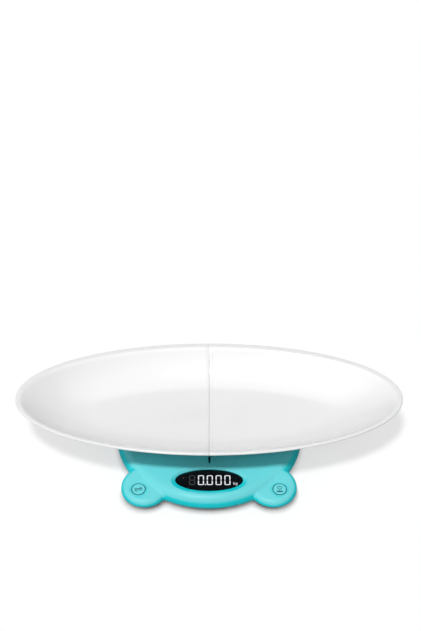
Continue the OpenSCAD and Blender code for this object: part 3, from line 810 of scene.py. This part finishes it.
def figure(lit):
    """One seven-segment figure in the plane, centred, from the names of its lit bars."""
    bm = bmesh.new()
    for name in lit:
        sx, sy, upright = SEGMENTS[name]
        if upright:
            take(bm, bar(sx * DIGIT_X, sy * (SPLIT + DIGIT_Y) / 2, DIGIT_Y - SPLIT + 0.6, True))
        else:
            take(bm, bar(0, sy * DIGIT_Y, 2 * DIGIT_X - 0.3, False))
    return bm


def dot(x, y, radius):
    """A round lamp."""
    bm = bmesh.new()
    bmesh.ops.create_circle(bm, cap_ends=True, radius=radius, segments=24)
    bmesh.ops.translate(bm, verts=bm.verts, vec=(x, y, 0))
    return bm


def stroke(points, width, closed=False):
    """A line of ink or light through points in the plane, as flat bars with round joints."""
    bm = bmesh.new()
    ends = points[1:] + points[:1] if closed else points[1:]
    for (x0, y0), (x1, y1) in zip(points, ends):
        length, angle = math.hypot(x1 - x0, y1 - y0), math.atan2(y1 - y0, x1 - x0)
        part = bmesh.new()
        bmesh.ops.create_cube(part, size=1)
        bmesh.ops.scale(part, vec=(length + width, width, 0.06), verts=part.verts)
        upright = [e for e in part.edges if abs(e.verts[0].co.z - e.verts[1].co.z) > 0.03]
        bmesh.ops.bevel(part, geom=upright, offset=width * 0.49, affect="EDGES", segments=3,
                        profile=0.5, material=-1)
        bmesh.ops.rotate(part, matrix=Matrix.Rotation(angle, 3, "Z"), verts=part.verts)
        bmesh.ops.translate(part, verts=part.verts, vec=((x0 + x1) / 2, (y0 + y1) / 2, 0.03))
        take(bm, part)
    return bm


def unit_sign():
    """The sign of the kilogram, in the lower right of the window."""
    bm = stroke([(0, 0), (0, 4.2)], 0.5)
    take(bm, stroke([(1.9, 2.9), (0.1, 1.2), (1.9, 0)], 0.5))
    loop = [(3.8 + 1.1 * math.cos(math.tau * i / 12), 1.4 + 1.3 * math.sin(math.tau * i / 12))
            for i in range(12)]
    take(bm, stroke(loop, 0.5, closed=True))
    take(bm, stroke([(4.9, 2.8), (4.9, -0.9), (4.2, -1.5), (2.9, -1.3)], 0.5))
    return bm


def lamp(name, colour, strength):
    """Light that shines through the window, or a faint painted glow on an unlit figure, even with a
    slight unevenness.
    """
    material, tree, shader, add = new_material(name)
    place = add("ShaderNodeTexCoord").outputs["Object"]
    cloud = add("ShaderNodeTexNoise", Vector=place, Scale=900.0, Detail=1.0).outputs["Fac"]
    shader.inputs["Base Color"].default_value = (0.01, 0.01, 0.01, 1)
    shader.inputs["Roughness"].default_value = 0.3
    shader.inputs["Emission Color"].default_value = (*colour, 1)
    tree.links.new(graded(add, cloud, strength * 0.9, strength), shader.inputs["Emission Strength"])
    return material


lit_white = lamp("lamp_white", (0.93, 0.95, 1.0), 0.95)
# The unlit figure gets a faint painted glow, so that it shows in the dark window.
unlit = lamp("lamp_unlit_painted_glow", (0.05, 0.05, 0.055), 0.6)
lit_red = lamp("lamp_red", (0.35, 0.03, 0.02), 0.5)
SURFACE = lens_high.z + 0.02
ZERO = [name for name in SEGMENTS if name != "middle"]


def on_window(bm, x=0.0, y=0.0):
    """Moves a flat sign to its place on the window."""
    bmesh.ops.translate(bm, verts=bm.verts, vec=(LENS.x + x, LENS.y + y, SURFACE))
    return bm


shown = on_window(dot(-4.9, -DIGIT_Y, 1.0))
for i in range(4):
    take(shown, on_window(figure(ZERO), (i - 0.92) * DIGIT_PITCH))
take(shown, on_window(unit_sign(), 33.8, -8.2))
finish_piece(shown, "display_figures", "base", [lit_white])
# The figure at the left is unlit and shows only by its painted glow.
finish_piece(on_window(figure(SEGMENTS), -1.92 * DIGIT_PITCH), "display_unlit_figure", "base", [unlit])
finish_piece(on_window(dot(-35.5, 4.5, 0.9)), "display_unit_lamp", "base", [lit_red])

# %% [markdown]
# ## The buttons
#
# Each button is a loose cap in a well, held by its snap switch. Its top has a printed ring and a
# sign. The cap is turned from a profile, and the ring and the sign are a thin layer of ink on it.

# %% Cap, ring and sign
CAP_R = BUTTON_HOLE - 0.35
RING_R, RING_W = 9.6, 0.9


def cap():
    """The button cap in its own place: top at zero, z along the press direction."""
    profile = [(0, -0.12), (4, -0.1), (7, -0.04), (CAP_R - 0.4, 0.0), (CAP_R - 0.12, -0.12),
               (CAP_R, -0.45), (CAP_R, -2.9), (CAP_R + 1.5, -2.9), (CAP_R + 1.5, -4.1), (2, -4.1),
               (2, -5.4), (0, -5.4)]
    return turned(profile, 96)


def printed_ring():
    """A flat ring of ink a hair above the cap."""
    profile = [(RING_R - RING_W, 0.0), (RING_R - RING_W, 0.06), (RING_R, 0.06), (RING_R, 0.0)]
    return turned(profile, 96, closed=True)


def swap_sign():
    """Two arrows in opposite directions, for changing the unit."""
    bm = stroke([(-5.0, 1.2), (4.8, 1.2), (2.4, 3.4)], 0.95)
    take(bm, stroke([(5.0, -1.2), (-4.8, -1.2), (-2.4, -3.4)], 0.95))
    return bm


def heart_sign():
    """A small heart over a bar, for holding the reading."""
    points = []
    for i in range(28):
        t = math.tau * i / 28
        x = 16 * math.sin(t) ** 3
        y = 13 * math.cos(t) - 5 * math.cos(2 * t) - 2 * math.cos(3 * t) - math.cos(4 * t)
        points.append((0.2 * x, 0.2 * y + 2.2))
    bm = stroke(points, 0.65, closed=True)
    take(bm, stroke([(-3.2, -3.6), (3.2, -3.6)], 2.0))
    return bm


for side, name, sign in ((-1, "left", swap_sign), (1, "right", heart_sign)):
    bm = cap()
    ring = printed_ring()
    take(ring, sign())
    take(bm, ring, material=1)
    bmesh.ops.transform(bm, matrix=ear_matrix(side), verts=bm.verts)
    finish_piece(bm, f"{name}_button_cap", f"{name}_button", [turquoise, ink],
                 [f"{name}_button"])

# %% [markdown]
# ## The underside
#
# Nobody looks at the underside in a shop, but everybody who changes the batteries does. The plate,
# the battery door and the disc-shaped feet keep their imported shape and only get moulded edges.
# The rubber pads of the feet are turned discs with rings that grip the table.

# %% Plate and door with moulded edges
LARGE = 25.0                            # square millimetres: a plate's faces, but not its edges


def softened(node, width):
    """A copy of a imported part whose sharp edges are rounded, in millimetres."""
    bm = bmesh.new()
    bm.from_mesh(frame["nodes"][node].data)
    bmesh.ops.scale(bm, vec=(1 / MM, 1 / MM, 1 / MM), verts=bm.verts)
    bmesh.ops.remove_doubles(bm, verts=bm.verts, dist=1e-3)
    bmesh.ops.dissolve_limit(bm, angle_limit=math.radians(0.5), verts=bm.verts, edges=bm.edges)
    return modified(bm, ("BEVEL", {"width": width, "segments": 2, "limit_method": "ANGLE",
                                   "angle_limit": math.radians(40), "use_clamp_overlap": True}))


finish_piece(softened("bottom_case", 0.35), "underside_plate", "base", [turquoise],
             ["bottom_case"], flat=LARGE)
finish_piece(softened("battery_door", 0.25), "battery_cover", "battery_door", [turquoise],
             ["battery_door"], flat=LARGE)

# %% Feet and pads
foot_white = moulded_plastic("foot_plastic", (0.78, 0.79, 0.8), (0.8, 0.81, 0.82), 0.4, relief=0.4)
pad_black = moulded_plastic("rubber", (0.03, 0.03, 0.03), (0.045, 0.045, 0.045), 0.8, relief=0.8)
PAD_H = 1.8


def foot_pad(radius):
    """A rubber disc with three grooves in its underside."""
    profile = [(0, PAD_H), (radius - 0.3, PAD_H), (radius, PAD_H - 0.3), (radius, 0.4),
               (radius - 0.4, 0)]
    for groove in (0.82, 0.6, 0.38):
        middle = radius * groove
        profile += [(middle + 1.0, 0), (middle + 0.7, 0.6), (middle - 0.7, 0.6), (middle - 1.0, 0)]
    return turned(profile + [(0, 0)], 72)


for place in ("front_left", "front_right", "rear_left", "rear_right"):
    pad_low, pad_high = box_mm(f"{place}_foot_pad")
    pad = foot_pad((pad_high.x - pad_low.x) / 2)
    bmesh.ops.translate(pad, verts=pad.verts, vec=((pad_low.x + pad_high.x) / 2,
                                                   (pad_low.y + pad_high.y) / 2, pad_low.z))
    finish_piece(pad, f"{place}_rubber_pad", "base", [pad_black], [f"{place}_foot_pad"])
    finish_piece(softened(f"{place}_foot", 0.4), f"{place}_foot_disc", "base", [foot_white],
                 [f"{place}_foot"], flat=LARGE)

# %% Coil springs of the battery bay
spring_metal = moulded_plastic("contact_metal", (0.75, 0.75, 0.76), (0.8, 0.8, 0.8), 0.22, relief=0.2)
COILS, COIL_PITCH, WIRE = 4.5, 0.9, 0.45


def spring(wide, narrow):
    """A conical coil of wire along z, on a plate at its wide end."""
    bm = bmesh.new()
    bmesh.ops.create_circle(bm, radius=WIRE, segments=10, matrix=Matrix.Translation((wide, 0, 0.9))
                            @ Matrix.Rotation(math.pi / 2, 4, "X"))
    steps = round(COILS * 24)
    bmesh.ops.spin(bm, geom=bm.verts[:] + bm.edges[:], cent=(0, 0, 0), axis=(0, 0, 1),
                   dvec=(0, 0, COIL_PITCH / 24), angle=COILS * math.tau, steps=steps)
    close(bm)
    for v in bm.verts:
        shrink = (wide - narrow) * (v.co.z - 0.9) / (COILS * COIL_PITCH)
        radius = math.hypot(v.co.x, v.co.y)
        v.co.x *= (radius - shrink) / radius
        v.co.y *= (radius - shrink) / radius
    take(bm, block((2 * wide + 0.9, 2 * wide + 1.2, 0.5), (0, 0, 0.25), 0.15))
    return bm


springs = bmesh.new()
spring_low, spring_high = box_mm("battery_springs")
for i in range(3):
    cell_low, cell_high = box_mm(f"battery_{i + 1}")
    middle = (cell_low + cell_high) / 2
    side = 1 if i % 2 == 0 else -1
    wall_x = spring_low.x if side > 0 else spring_high.x
    one = spring((cell_high.y - cell_low.y) * 0.32, 2.2)
    bmesh.ops.transform(one, matrix=Matrix.Translation((wall_x, middle.y, middle.z))
                        @ Matrix.Rotation(side * math.pi / 2, 4, "Y"), verts=one.verts)
    take(springs, one)
finish_piece(springs, "coil_springs", "base", [spring_metal], ["battery_springs"])

# %% [markdown]
# ## Finishes of the parts inside
#
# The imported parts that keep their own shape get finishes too: they are seen from below, through
# gaps, and when somebody takes the model apart.

# %% One finish for each material slot
slot_finish = {
    "turquoise_case": turquoise,
    "white_tray": white,
    "dark_window": window_black,
    "black_component": moulded_plastic("black_component", (0.02, 0.02, 0.022), (0.03, 0.03, 0.032), 0.5,
                                       relief=0.4),
    "circuit_board": moulded_plastic("solder_mask", (0.01, 0.16, 0.06), (0.015, 0.22, 0.08), 0.35,
                                     relief=0.4),
    "rubber_pad": pad_black,
    "foot_plastic": foot_white,
    "red_wire": moulded_plastic("red_wire", (0.5, 0.03, 0.02), (0.56, 0.04, 0.03), 0.42, relief=0.3),
    "blue_wire": moulded_plastic("blue_wire", (0.03, 0.07, 0.42), (0.04, 0.09, 0.48), 0.42, relief=0.3),
    "battery_jacket": moulded_plastic("battery_jacket", (0.08, 0.1, 0.12), (0.1, 0.12, 0.14), 0.3,
                                      relief=0.2),
    "contact_metal": spring_metal,
    "screw_steel": moulded_plastic("screw_steel", (0.5, 0.5, 0.52), (0.6, 0.6, 0.61), 0.35, relief=0.3),
    "sensor_steel": moulded_plastic("sensor_steel", (0.55, 0.55, 0.56), (0.6, 0.6, 0.61), 0.3,
                                    relief=0.3),
    "switch_metal": moulded_plastic("switch_metal", (0.7, 0.7, 0.71), (0.75, 0.75, 0.76), 0.3,
                                    relief=0.3),
}
node_slot = {part["node"]: part["material_slot"] for part in frame["record"]["subparts"]}
for name, node in frame["nodes"].items():
    node.data.materials.clear()
    node.data.materials.append(slot_finish[node_slot[name]])
print("finished", len(node_slot), "packed nodes")

# %% [markdown]
# ## Studio
#
# A white table under a large soft lamp, a little in front and to the left, with a weak one low on
# the left, and an even sky. The table is nearly white to the camera, with only as much shade as
# the soft shadows need, and a painted contact shade darkens it a little more close to what stands
# on it. Light that bounces meets a greyer table, so that the space under the tray stays as dark as
# it should be.

# %% Table
# How grey the table is to bounced light, how much of it glows to the camera, and how far the painted
# contact shade reaches.
TABLE_BOUNCE, TABLE_GLOW, PAINTED_SHADE_REACH = 0.5, 0.615, 10.0


def table_top():
    material, tree, shader, add = new_material("table_white")
    shader.inputs["Roughness"].default_value = 0.9
    shader.inputs["Specular IOR Level"].default_value = 0.0
    seen = add("ShaderNodeLightPath").outputs["Is Camera Ray"]
    tone = add("ShaderNodeMapRange", Value=seen, To_Min=TABLE_BOUNCE, To_Max=0.97)
    tree.links.new(tone.outputs["Result"], shader.inputs["Base Color"])
    glow = add("ShaderNodeEmission", Color=(1, 1, 1, 1), Strength=1.05)
    share = add("ShaderNodeMath", {"operation": "MULTIPLY"})
    tree.links.new(seen, share.inputs[0])
    share.inputs[1].default_value = TABLE_GLOW
    both = add("ShaderNodeMixShader")
    tree.links.new(share.outputs[0], both.inputs[0])
    tree.links.new(shader.outputs[0], both.inputs[1])
    tree.links.new(glow.outputs[0], both.inputs[2])
    # A painted contact shade: ambient occlusion mixes black into the table close to what stands on it.
    near = add("ShaderNodeAmbientOcclusion", {"samples": 8}, Distance=PAINTED_SHADE_REACH * MM)
    painted_contact_shade = add("ShaderNodeMix", {"data_type": "FLOAT"})
    tree.links.new(near.outputs["AO"], painted_contact_shade.inputs[0])
    painted_contact_shade.inputs[2].default_value, painted_contact_shade.inputs[3].default_value = -0.5, 1.0
    shade = add("ShaderNodeEmission", Strength=0.0)
    painted_contact_mix = add("ShaderNodeMixShader")
    tree.links.new(painted_contact_shade.outputs[0], painted_contact_mix.inputs[0])
    tree.links.new(shade.outputs[0], painted_contact_mix.inputs[1])
    tree.links.new(both.outputs[0], painted_contact_mix.inputs[2])
    clear = add("ShaderNodeBsdfTransparent")
    below = add("ShaderNodeNewGeometry")
    out = add("ShaderNodeMixShader")
    tree.links.new(below.outputs["Backfacing"], out.inputs[0])
    tree.links.new(painted_contact_mix.outputs[0], out.inputs[1])
    tree.links.new(clear.outputs[0], out.inputs[2])
    tree.links.new(out.outputs[0], tree.nodes["Material Output"].inputs["Surface"])
    bm = bmesh.new()
    bmesh.ops.create_grid(bm, x_segments=1, y_segments=1, size=4)
    mesh = bpy.data.meshes.new("table")
    bm.to_mesh(mesh)
    bm.free()
    mesh.materials.append(material)
    top = bpy.data.objects.new("table", mesh)
    bpy.context.scene.collection.objects.link(top)


table_top()

# %% Lamps and sky
SKY = 0.31


def sun(name, direction, width, power):
    """A sun lamp: where it comes from, how broad it looks in degrees, and its power."""
    lamp_object = bpy.data.objects.new(name, bpy.data.lights.new(name, "SUN"))
    lamp_object.data.angle = math.radians(width)
    lamp_object.data.energy = power
    lamp_object.rotation_euler = Vector(direction).to_track_quat("Z", "Y").to_euler()
    bpy.context.scene.collection.objects.link(lamp_object)


sun("key", (-0.16, -0.345, 0.93), 11, 2.2)
sun("side", (-0.8, -0.6, 0.06), 12, 0.5)

world = bpy.data.worlds.new("sky")
world.use_nodes = True
bpy.context.scene.world = world
sky = world.node_tree
paths = sky.nodes.new("ShaderNodeLightPath")
level = sky.nodes.new("ShaderNodeMapRange")
level.inputs["To Min"].default_value = SKY
level.inputs["To Max"].default_value = 1.0
sky.links.new(paths.outputs["Is Camera Ray"], level.inputs["Value"])
sky.nodes["Background"].inputs["Color"].default_value = (1, 1, 1, 1)
sky.links.new(level.outputs["Result"], sky.nodes["Background"].inputs["Strength"])
bpy.context.scene.view_settings.view_transform = "Standard"
